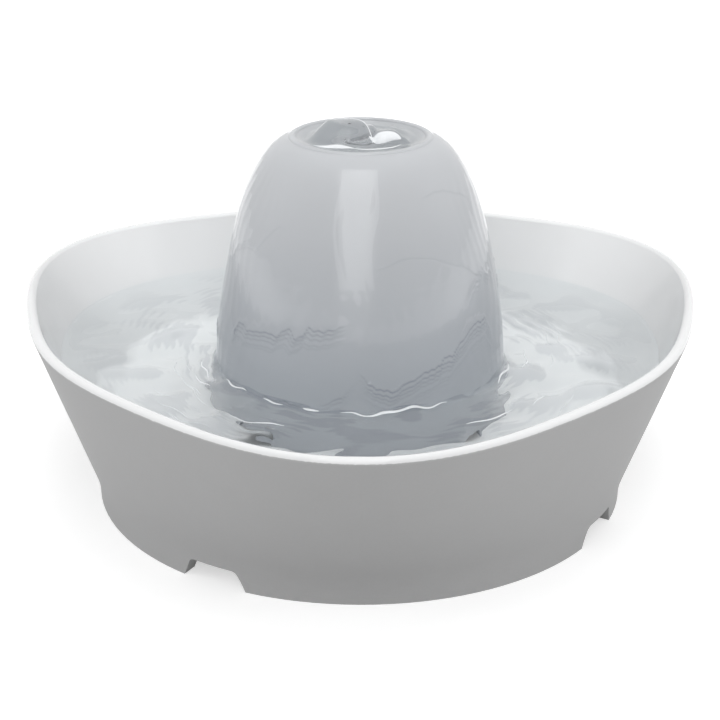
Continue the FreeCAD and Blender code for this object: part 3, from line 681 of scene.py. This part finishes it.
def film_height(angles, z):
    thick, shade = np.zeros_like(angles), np.zeros_like(angles)
    for strength, size, turns, phase, drop, points in FRONTS:
        first, last = points[0][0], points[-1][0]
        middle = (first + last) / 2
        degrees = (np.degrees(angles) - middle + 180) % 360 - 180 + middle
        window = np.clip(np.minimum(degrees - first, last - degrees) / END_FADE, 0, 1)
        sway = turns * angles + phase
        zigzag = np.sin(sway) + 0.6 * np.sin(1.37 * sway + 1) + 0.4 * np.sin(2.9 * sway)
        zigzag *= size * (0.6 + 0.4 * np.sin(0.31 * sway))
        line = (smooth_through(points, degrees) + zigzag - drop) * MM
        across = (z - line) / FRONT_WIDTH
        tail = TAIL_SHARE * np.exp(-((across - TAIL_SHIFT) / TAIL_WIDTH) ** 2)
        thick += FRONT_RISE * strength * window * (np.exp(-across ** 2) + tail)
        below = (z - line + FRONT_WIDTH * SHADE_DROP) / SHADE_WIDTH
        shade += strength * window * np.exp(-below ** 2)
    return thick, np.clip(shade, 0, 1)


# %% [markdown]
# The crown is where the riser's jet turns over: one tall lobe left of centre, a lower one to its right and
# small crests between. A fluid simulation would take minutes and move with every change of a value. Here
# each lobe is a smooth bump, steeper than a bell curve so that it reads as a lump.

# %% The crown over the outlet
# Each lobe: middle to the right and to the back, half width, half depth and height, in mm
CROWN = (
    (-7.0, -7.0, 12.5, 10.5, 7.6),
    (-15.0, -5.0, 5.0, 5.5, 4.6),
    (1.5, -4.5, 6.5, 6.0, 5.4),
    (10.5, -8.0, 7.5, 6.0, 4.4),
    (15.5, -9.0, 4.5, 3.5, 2.0),
    (-3.0, -15.0, 9.5, 3.0, 1.4),
)
LOBE_STEEPNESS = 2.4
LOBE_SKIRT = 0.12
RIPPLE_HEIGHT = 0.22 * MM
RIPPLE_PITCH = 1.1 * MM
RIPPLE_R = 19 * MM
RIPPLE_REACH = 6 * MM


def crown_height(x, y):
    total = np.zeros_like(x)
    for middle_x, middle_y, half_x, half_y, rise in CROWN:
        reach = ((x / MM - middle_x) / half_x) ** 2 + ((y / MM - middle_y) / half_y) ** 2
        lobe = rise * MM * np.exp(-reach ** LOBE_STEEPNESS)
        total = np.maximum(total, lobe) + LOBE_SKIRT * rise * MM * np.exp(-reach)
    distance = np.hypot(x, y)
    fading = np.exp(-((distance - RIPPLE_R) / RIPPLE_REACH) ** 2)
    return total + RIPPLE_HEIGHT * np.cos(distance / RIPPLE_PITCH) * fading


# %% [markdown]
# The sheet is skinned from the middle of the dish outwards, over the crest, down the outside to the water,
# and back up inside the tower's glaze, where no one sees it. Like the pool, it has to be a closed solid.

# %% The sheet of water on the tower
CREST_START = 0.8               # share of the crest's radius where the dish's water starts to climb
SMOOTH_TOP_Z = 156 * MM         # no fronts above here
FRONTS_FADE = 14 * MM
STREAK_HEIGHT = 0.05 * MM
STREAKS = 57
RETURN_STRIDE = 6
UNDER_DISH_Z = tower_high.z - 5.4 * MM
UNDER_DISH_RADII_MM = (25.5, 18, 10)


def dish_rings(angles):
    rings = []
    for row in range(1, DISH_ROWS + 1):
        radius = CREST_R * row / DISH_ROWS
        lift = crown_height(radius * np.sin(angles), -radius * np.cos(angles))
        climb = max(0.0, (radius - CREST_START * CREST_R) / ((1 - CREST_START) * CREST_R))
        level = DISH_LEVEL_Z + climb ** 2 * (tower_high.z + FILM - DISH_LEVEL_Z)
        rings.append(level_ring(angles, radius, level + lift))
    return rings


def outside_rings(angles):
    slopes = np.gradient(TOWER_PROFILE, axis=0)
    normals = np.stack([-slopes[:, 1], slopes[:, 0]], axis=1)
    normals /= np.linalg.norm(normals, axis=1)[:, None]
    rings, shades = [], []
    for (radius, z), (out_r, out_z) in zip(TOWER_PROFILE, normals):
        extra, shade = film_height(angles, z)
        streaks = STREAK_HEIGHT * np.sin(angles * STREAKS + 3 * np.sin(angles * 5 + z / (9 * MM)))
        shown = min(1.0, max(0.0, (SMOOTH_TOP_Z - z) / FRONTS_FADE))
        thick = FILM + (extra + streaks) * shown
        rings.append(level_ring(angles, radius + out_r * thick, z + out_z * thick))
        shades.append(shade)
    return rings, shades


def make_tower_water():
    angles = np.arange(FILM_COLUMNS) * math.tau / FILM_COLUMNS
    rings = dish_rings(angles)
    shades = [np.zeros_like(angles)] * len(rings)
    outside, outside_shades = outside_rings(angles)
    rings += outside
    back_up = TOWER_PROFILE[::-RETURN_STRIDE]
    rings += [level_ring(angles, radius - TUCK, z - TUCK) for radius, z in back_up]
    rings += [level_ring(angles, radius * MM, UNDER_DISH_Z) for radius in UNDER_DISH_RADII_MM]
    return shaded(skin_rings("tower_water", rings), shades + outside_shades)


tower_water = wet(make_tower_water(), "tower", THIN_WATER)
print("tower water:", len(tower_water.data.polygons), "faces")

# %% [markdown]
# Where the moving water bends a lamp at the eye, the photograph shows crisp white slivers: along the tower's
# foot, on the ripples beside it, and round the crown. Still water with soft lamps has none, so each is a
# painted highlight: a thin white leaf draped on the water, narrowing at both ends. That is a stand-in for
# light, and it stays where it is when the camera moves.

# %% Where the painted highlights lie
# Each sliver on the pool: first and last angle, distance from the tower and half width in mm
POOL_SLIVERS = (
    (-7, 34, 1.3, 0.55),
    (-21, -15, 1.6, 0.7),
    (-38, -29, 2.4, 0.4),
    (-62, -47, 1.8, 0.45),
    (-84, -66, 7.0, 0.6),
    (-72, -60, 11.5, 0.5),
    (62, 80, 3.2, 0.5),
    (74, 96, 9.5, 0.45),
    (-40, -22, 19.0, 0.5),
    (30, 47, 22.0, 0.5),
)

# Further out the crests are fainter, so they are thinner, bend more and lie at random on the two sides
FAR_CREST_COUNT = 14


def far_crests():
    # Each has the same four values as a sliver above
    draw = random.Random(9)
    crests = []
    for index in range(FAR_CREST_COUNT):
        side = 1 if index % 2 else -1
        first = side * draw.uniform(50, 125)
        span = draw.uniform(9, 24)
        crests.append((first, first + span, draw.uniform(13, 44), draw.uniform(0.16, 0.26)))
    return crests


# Each sliver on the crown: half width in mm, then points to the right and to the back
CROWN_SLIVERS = (
    (0.36, ((-15, -5), (-11, -3.2), (-6, -3), (-1, -5), (2.5, -8), (4.5, -12), (5, -15))),
    (0.90, ((-20, -16), (-15, -18.6), (-8, -20), (-3, -20.5))),
    (0.50, ((-4, -21), (4, -21.4), (12, -18.5), (17, -14))),
    (2.20, ((3.5, -13.0), (8, -12.5), (13, -11.5), (17, -11))),
)

# %% [markdown]
# A leaf is a row of small closed rings along its line. Each ring has five points on top and five under, all
# set from the height of the water below them, so that the leaf follows every ripple.

# %% Draping a leaf on the water
SLIVER_STATIONS = 40
SLIVER_ACROSS = np.linspace(-1, 1, 5)
SLIVER_BULGE = 0.16 * MM
SLIVER_OVER = 0.02 * MM
SLIVER_UNDER = 0.10 * MM
SLIVER_TIP = 0.06
SLIVER_ROUNDNESS = 0.6


def drape(name, line, half_width, surface):
    ahead = np.gradient(line, axis=0)
    ahead /= np.linalg.norm(ahead, axis=1)[:, None]
    sideways = np.stack([-ahead[:, 1], ahead[:, 0]], axis=1)
    rings = []
    for step, (middle, side) in enumerate(zip(line, sideways)):
        taper = max(SLIVER_TIP, math.sin(math.pi * step / (len(line) - 1))) ** SLIVER_ROUNDNESS
        flat = middle + SLIVER_ACROSS[:, None] * side * half_width * taper
        level = surface(flat[:, 0], flat[:, 1])
        bulge = SLIVER_BULGE * (1 - SLIVER_ACROSS ** 2) * taper
        top = np.stack([flat[:, 0], axis_y + flat[:, 1], level + bulge + SLIVER_OVER], axis=1)
        under = np.stack([flat[:, 0], axis_y + flat[:, 1], level - SLIVER_UNDER], axis=1)
        rings.append(np.concatenate([top, under[::-1]]))
    return skin_rings(name, rings)


def pool_surface(x, y):
    angles, radii = np.arctan2(x, -y), np.hypot(x, y)
    walls = np.array([wall_radius(angle, WATER_Z) for angle in angles])
    return WATER_Z + pool_height(angles, radii, walls, tower_radius(WATER_Z))[0]


def crown_surface(x, y):
    return DISH_LEVEL_Z + crown_height(x, y)


def round_the_tower(first, last, away):
    # The line wavers, and the more so the further out it lies
    angles = np.radians(np.linspace(first, last, SLIVER_STATIONS))
    bend = 0.5 * np.sin(angles * 31) + 0.09 * away * np.sin(angles * 7 + away)
    radii = tower_radius(WATER_Z) + (away + bend) * MM
    return np.stack([radii * np.sin(angles), -radii * np.cos(angles)], axis=1)


def curve_through(points):
    corners = np.array(points, float) * MM
    along = np.arange(len(corners))
    stops = np.linspace(0, len(corners) - 1, SLIVER_STATIONS)
    return np.stack([smooth_through(list(zip(along, column)), stops) for column in corners.T], axis=1)


# Painted highlight: a near-white finish for the slivers, standing in for lamps caught by the water
painted_glint = grained("aerated water", (0.80, 0.82, 0.84), 0.06, 900.0, 0.12, 0.03, 0.1)
for index, (first, last, away, half_width) in enumerate(list(POOL_SLIVERS) + far_crests(), 1):
    line = round_the_tower(first, last, away)
    wet(drape(f"pool_sliver_{index}", line, half_width * MM, pool_surface), "bowl", painted_glint)
for index, (half_width, points) in enumerate(CROWN_SLIVERS, 1):
    line = curve_through(points)
    wet(drape(f"crown_sliver_{index}", line, half_width * MM, crown_surface), "tower", painted_glint)
print("white slivers:", len(POOL_SLIVERS) + FAR_CREST_COUNT, "on the pool and", len(CROWN_SLIVERS), "above")

# %% [markdown]
# The parts under the tower show when it is lifted off for cleaning, so each has its own finish: moulded
# plastic with a faint texture, soft rubber, sintered magnet, wound copper, and a ceramic shaft.

# %% Plain finishes for the hidden parts
# Each finish: colour, drift, grain scale, roughness, its drift, bump, and the parts that wear it
FINISHES = {
    "black rubber": ((0.035, 0.035, 0.037), 0.10, 700.0, 0.62, 0.08, 0.3, ["lead_seal"]),
    "grey silicone": ((0.33, 0.34, 0.355), 0.03, 400.0, 0.35, 0.05, 0.15, ["outlet_seal"]),
    "basket plastic": ((0.075, 0.08, 0.085), 0.06, 1200.0, 0.42, 0.06, 0.3, ["filter_basket", "filter_lid"]),
    "pump plastic": (
        (0.022, 0.022, 0.024), 0.08, 1500.0, 0.38, 0.06, 0.35,
        ["pump_housing", "pump_cover", "intake_grille"],
    ),
    "white plastic": ((0.72, 0.73, 0.74), 0.02, 900.0, 0.34, 0.04, 0.15, ["cartridge_frame", "coil_bobbin"]),
    "grey plastic": ((0.33, 0.34, 0.355), 0.03, 900.0, 0.34, 0.04, 0.15, ["outlet_nozzle"]),
    "bush rubber": ((0.05, 0.05, 0.05), 0.10, 900.0, 0.6, 0.06, 0.3, ["rear_bush", "front_bush"]),
    "poured resin": ((0.03, 0.03, 0.03), 0.12, 160.0, 0.22, 0.08, 0.2, ["stator_potting"]),
    "sintered ferrite": ((0.07, 0.07, 0.075), 0.15, 1800.0, 0.5, 0.1, 0.4, ["rotor_magnet"]),
    "polished ceramic": ((0.86, 0.86, 0.84), 0.01, 600.0, 0.12, 0.02, 0.05, ["rotor_shaft"]),
    "turning plastic": ((0.68, 0.70, 0.66), 0.02, 900.0, 0.3, 0.05, 0.12, ["impeller", "flow_dial"]),
}

for name, (*values, parts) in FINISHES.items():
    finish = grained(name, *values)
    for part in parts:
        dress(part, finish)
print("plain finishes:", len(FINISHES))

# %% [markdown]
# Two more let light in. The cups' silicone is milky, so light scatters under its surface. The riser is clear
# vinyl tube, with enough colour left to read as a solid.

# %% Milky and clear parts
milky = grained(
    "cup silicone", (0.55, 0.57, 0.58), 0.03, 500.0, 0.3, 0.05, 0.12, Subsurface_Weight=0.2)
dress("suction_cups", milky)
clear_vinyl = grained(
    "clear vinyl", (0.66, 0.70, 0.72), 0.02, 300.0, 0.18, 0.03, 0.08, Transmission_Weight=0.6)
dress("riser_tube", clear_vinyl)

# %% [markdown]
# Two finishes are striped by how they are made: the stator is a stack of thin sheets, and the coil is layer
# on layer of wire. A wave texture across the stack gives both, each at its own pitch.

# %% Sheets and wire
WAVE_UNIT = 0.314               # the wave texture repeats every 0.314 units at a scale of 1
STRIPE_HEIGHT = 0.08 * MM


def striped(name, light, dark, direction, pitch, roughness):
    material, tree, shader = new_material(name)
    wave = tree.nodes.new("ShaderNodeTexWave")
    wave.bands_direction = direction
    settle(wave, Scale=WAVE_UNIT / pitch, Distortion=0.4)
    join(tree, object_place(tree), wave.inputs["Vector"])
    colour = blend_colours(tree, wave.outputs["Fac"], dark + (1,), light + (1,))
    join(tree, colour, shader.inputs["Base Color"])
    settle(shader, Metallic=0.9, Roughness=roughness)
    add_bump(tree, wave.outputs["Fac"], shader, 0.6, STRIPE_HEIGHT)
    return material


steel = striped("stacked steel", (0.55, 0.55, 0.56), (0.22, 0.22, 0.24), "Y", 0.5 * MM, 0.4)
copper = striped("wound copper", (0.72, 0.33, 0.15), (0.25, 0.09, 0.04), "X", 0.3 * MM, 0.3)
dress("stator_core", steel)
dress("coil_winding", copper)

# %% [markdown]
# Foam and the carbon pad are soft, so their plain solids are replaced. The foam is an open-celled sleeve
# with rounded edges, bent round the pump with a gap for the lead.

# %% The foam sleeve
FOAM_LOW, FOAM_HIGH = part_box("foam_sleeve")
FOAM_OUT = (FOAM_HIGH.x - FOAM_LOW.x) / 2 - 0.2 * MM
FOAM_THICK = 6.0 * MM
FOAM_GAP = math.radians(52)
FOAM_CORNER = 1.2 * MM
FOAM_ROUGHNESS = 0.12 * MM
FOAM_STATIONS = 110


def rounded_section(half_wide, half_high, corner, per_corner=5):
    points = []
    for quarter in range(4):
        corner_x = (half_wide - corner) * (1 if quarter in (0, 3) else -1)
        corner_y = (half_high - corner) * (1 if quarter in (0, 1) else -1)
        for step in range(per_corner):
            turn = math.pi / 2 * (quarter + step / (per_corner - 1))
            points.append((corner_x + corner * math.cos(turn), corner_y + corner * math.sin(turn)))
    return points


def make_foam():
    draw = random.Random(7)
    half_high = (FOAM_HIGH.z - FOAM_LOW.z) / 2 - 0.2 * MM
    section = rounded_section(FOAM_THICK / 2, half_high, FOAM_CORNER)
    middle_r = FOAM_OUT - FOAM_THICK / 2
    middle_z = (FOAM_LOW.z + FOAM_HIGH.z) / 2
    rings = []
    for station in range(FOAM_STATIONS + 1):
        share = station / FOAM_STATIONS
        angle = -math.pi + FOAM_GAP / 2 + (math.tau - FOAM_GAP) * share
        squeeze = min(1.0, 0.7 + 6 * min(share, 1 - share))   # the two cut ends are pinched
        ring = []
        for across, up in section:
            rough = draw.uniform(-FOAM_ROUGHNESS, FOAM_ROUGHNESS)
            radius = middle_r + across * squeeze + rough
            ring.append(from_axis(angle, radius, middle_z + up * (0.97 + 0.03 * squeeze)))
        rings.append(ring)
    return skin_rings("foam_sleeve_soft", rings)


def open_cells(name, colour, cell, depth):
    material, tree, shader = new_material(name)
    cells = tree.nodes.new("ShaderNodeTexVoronoi")
    settle(cells, Scale=1 / cell)
    join(tree, object_place(tree), cells.inputs["Vector"])
    edge = maths(tree, "MULTIPLY", cells.outputs["Distance"], 1.4, True)
    # Painted shade: each cell's hollow, where the bump sinks, is mixed towards a darker copy of the colour
    dark = tuple(channel * 0.3 for channel in colour)
    join(tree, blend_colours(tree, edge, dark + (1,), colour + (1,)), shader.inputs["Base Color"])
    settle(shader, Roughness=0.92)
    add_bump(tree, edge, shader, 0.9, depth)
    return material


foam = make_foam()
foam.data.materials.append(open_cells("open-cell foam", (0.10, 0.10, 0.11), 1.1 * MM, 0.5 * MM))
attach(foam, "bowl")
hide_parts("foam_sleeve")

# %% [markdown]
# The carbon pad is a felt envelope filled with grains. It bulges between the frame's bars and thins at its
# welded edge, so its two faces are height fields that meet round the rim.

# %% The carbon pad
PAD_LOW, PAD_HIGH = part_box("carbon_pad")
PAD_HALF = (PAD_HIGH.y - PAD_LOW.y) / 2 - 0.1 * MM
PAD_COLUMNS, PAD_ROWS = 56, 44
PAD_WELD = 0.14                 # share of the pad over which it swells from its welded edge
PAD_CHAMBERS = 3
PAD_LUMPS = 60


def pad_fullness(u, v, lumps):
    edge = min(u, 1 - u, v, 1 - v)
    swell = min(1.0, edge / PAD_WELD) ** 0.5
    chamber = 0.84 + 0.16 * abs(math.sin(math.pi * PAD_CHAMBERS * u))
    lump = sum(math.exp(-((u - a) ** 2 + (v - b) ** 2) / r ** 2) for a, b, r in lumps)
    return min(1.0, (0.12 + 0.8 * swell * chamber) * (0.93 + 0.05 * math.tanh(lump - 1)))


def pad_points():
    draw = random.Random(3)
    lumps = [(draw.uniform(0, 1), draw.uniform(0, 1), draw.uniform(0.05, 0.12)) for _ in range(PAD_LUMPS)]
    middle_y = (PAD_LOW.y + PAD_HIGH.y) / 2
    points = []
    for side in (-1, 1):
        for row in range(PAD_ROWS + 1):
            for column in range(PAD_COLUMNS + 1):
                u, v = column / PAD_COLUMNS, row / PAD_ROWS
                x = PAD_LOW.x + (PAD_HIGH.x - PAD_LOW.x) * u
                z = PAD_LOW.z + (PAD_HIGH.z - PAD_LOW.z) * v
                points.append((x, middle_y + side * PAD_HALF * pad_fullness(u, v, lumps), z))
    return points


def pad_faces():
    wide = PAD_COLUMNS + 1
    layer = wide * (PAD_ROWS + 1)
    faces = []
    for row in range(PAD_ROWS):
        for column in range(PAD_COLUMNS):
            near = row * wide + column
            far = layer + near
            faces.append((near, near + 1, near + wide + 1, near + wide))
            faces.append((far, far + wide, far + wide + 1, far + 1))
    # The rim, once round: along the bottom, up, back along the top, and down
    rim = list(range(wide))
    rim += [row * wide + PAD_COLUMNS for row in range(1, PAD_ROWS + 1)]
    rim += [PAD_ROWS * wide + column for column in range(PAD_COLUMNS - 1, -1, -1)]
    rim += [row * wide for row in range(PAD_ROWS - 1, 0, -1)]
    for corner, after in zip(rim, rim[1:] + rim[:1]):
        faces.append((corner, layer + corner, layer + after, after))
    return faces


def make_pad():
    mesh = bpy.data.meshes.new("carbon_pad_soft")
    mesh.from_pydata(pad_points(), [], pad_faces())
    mesh.polygons.foreach_set("use_smooth", [True] * len(mesh.polygons))
    turn_outward(mesh)
    return link("carbon_pad_soft", mesh)


pad = make_pad()
pad.data.materials.append(open_cells("carbon felt", (0.62, 0.63, 0.62), 0.7 * MM, 0.15 * MM))
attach(pad, "bowl")
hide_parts("carbon_pad")
print("foam sleeve:", len(foam.data.polygons), "faces; carbon pad:", len(pad.data.polygons), "faces")

# %% [markdown]
# The set is a plain pale floor with soft light, as for a catalogue. Lit by the softboxes alone, the floor
# would go grey far behind. So it glows as well, but only to the eye and in reflections: less near the
# object, where a shadow has to show, and more in the distance, where it has to look white. The world gives
# an even fill.

# %% Floor and world
FLOOR_SIZE = 12.0
FLOOR_GREY = 0.64
FLOOR_NEAR, FLOOR_FAR = 0.3, 1.1
GLOW_NEAR, GLOW_FAR = 0.55, 1.0
FILL = 0.32


def is_seen(tree):
    path = tree.nodes.new("ShaderNodeLightPath")
    mirror = maths(tree, "MAXIMUM", path.outputs["Is Glossy Ray"], path.outputs["Is Transmission Ray"])
    return maths(tree, "MAXIMUM", path.outputs["Is Camera Ray"], mirror)


def make_floor():
    bpy.ops.mesh.primitive_plane_add(size=FLOOR_SIZE, location=(0, 0, 0))
    floor = bpy.context.object
    floor.name = "floor"
    material, tree, shader = new_material("pale floor")
    settle(shader, Base_Color=(FLOOR_GREY, FLOOR_GREY, FLOOR_GREY, 1), Roughness=0.9, Specular_IOR_Level=0.0)
    settle(shader, Emission_Color=(1, 1, 1, 1))
    away = tree.nodes.new("ShaderNodeVectorMath")
    away.operation = "LENGTH"
    join(tree, tree.nodes.new("ShaderNodeNewGeometry").outputs["Position"], away.inputs[0])
    glow = ramp(tree, away.outputs["Value"], FLOOR_NEAR, FLOOR_FAR)
    settle(glow, To_Min=GLOW_NEAR, To_Max=GLOW_FAR)
    lift = maths(tree, "MULTIPLY", is_seen(tree), glow.outputs["Result"])
    join(tree, lift, shader.inputs["Emission Strength"])
    floor.data.materials.append(material)


def make_world():
    world = bpy.data.worlds.new("studio")
    world.use_nodes = True
    bpy.context.scene.world = world
    tree = world.node_tree
    back = tree.nodes["Background"]
    settle(back, Color=(1, 1, 1, 1))
    strength = maths(tree, "ADD", maths(tree, "MULTIPLY", is_seen(tree), 1.0 - FILL), FILL)
    join(tree, strength, back.inputs["Strength"])


make_floor()
make_world()
print("floor:", FLOOR_SIZE, "m wide; even fill:", FILL)

# %% [markdown]
# One tall softbox stands in front, a little to the left: it lights the outside and draws the soft upright
# highlight on the tower. A wide one overhead lights the inside of the bowl and the dish, and a weak one on
# each side lifts the flanks. Only the front one is mirrored in the glaze and the water.

# %% Softboxes
AIM = Vector((0, 0, 0.1))


def softbox(name, place, wide, high, power, mirrored=True):
    light = bpy.data.lights.new(name, "AREA")
    light.shape = "RECTANGLE"
    light.size = wide
    light.size_y = high
    light.energy = power
    lamp = bpy.data.objects.new(name, light)
    lamp.location = place
    lamp.rotation_euler = (AIM - Vector(place)).to_track_quat("-Z", "Y").to_euler()
    lamp.visible_glossy = mirrored
    lamp.visible_transmission = mirrored
    bpy.context.scene.collection.objects.link(lamp)
    print(name, wide, "by", high, "m,", power, "W")


softbox("front softbox", (-0.13, -1.8, 1.70), 1.40, 4.0, 31.0)
softbox("top softbox", (0.1, 0.35, 1.7), 1.5, 1.5, 14.5, False)
softbox("right softbox", (1.7, -0.2, 0.7), 0.8, 1.2, 9.0, False)
softbox("left softbox", (-1.7, -0.2, 0.7), 0.8, 1.2, 8.0, False)

# %% [markdown]
# The camera was found by fitting the foot circle, the waterline, the rim and the tower in the photograph:
# 0.70 m in front of the tower's axis, 0.35 m up, looking down by 22 degrees, with a hair of roll.

# %% Camera
CAMERA_DISTANCE = 0.700
CAMERA_HEIGHT = 0.346
CAMERA_PITCH = math.radians(22.454)
CAMERA_ROLL = math.radians(0.23)
CAMERA_LENS = 83.72


def make_camera():
    data = bpy.data.cameras.new("camera")
    data.lens = CAMERA_LENS
    data.sensor_width = 36.0
    camera = bpy.data.objects.new("camera", data)
    camera.location = (0, axis_y - CAMERA_DISTANCE, CAMERA_HEIGHT)
    turned = Euler((math.pi / 2 - CAMERA_PITCH, 0, 0)).to_matrix() @ Euler((0, 0, CAMERA_ROLL)).to_matrix()
    camera.rotation_euler = turned.to_euler()
    bpy.context.scene.collection.objects.link(camera)
    bpy.context.scene.camera = camera


make_camera()
bpy.context.scene.view_settings.view_transform = "Standard"
